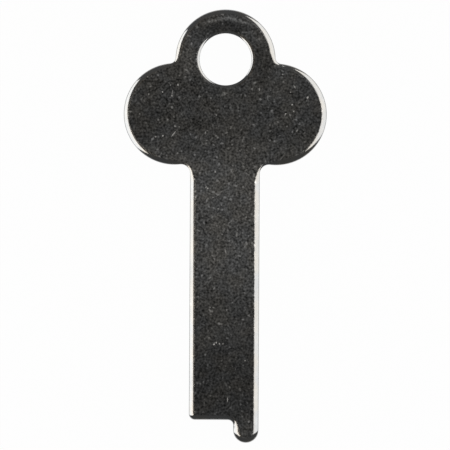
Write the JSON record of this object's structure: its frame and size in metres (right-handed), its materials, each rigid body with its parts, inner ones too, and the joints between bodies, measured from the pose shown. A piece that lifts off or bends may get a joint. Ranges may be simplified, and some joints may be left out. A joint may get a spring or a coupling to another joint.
{
  "type": "key blank",
  "caption": "Flat stamped steel key blank with a trefoil bow, a round ring hole, a plain uncut blade and a narrow nib flush with an edge at the tip.",
  "frame": {"origin": "on the back face, at the middle of the outline's box, half way between the top of the bow and the end of the nib", "axes": "+Y along the key towards the bow, +Z out of the polished front face, +X towards the edge that the nib is flush with"},
  "size_m": [0.0254, 0.0542, 0.0016],
  "materials": {
    "plated_steel": "nickel plate over a tumbled sheet: smooth, with a fine speckle and a few small marks on the face, and brighter rolled edges"
  },
  "bodies": {
    "root": {"key_blank": "plated_steel"}
  },
  "joints": []
}
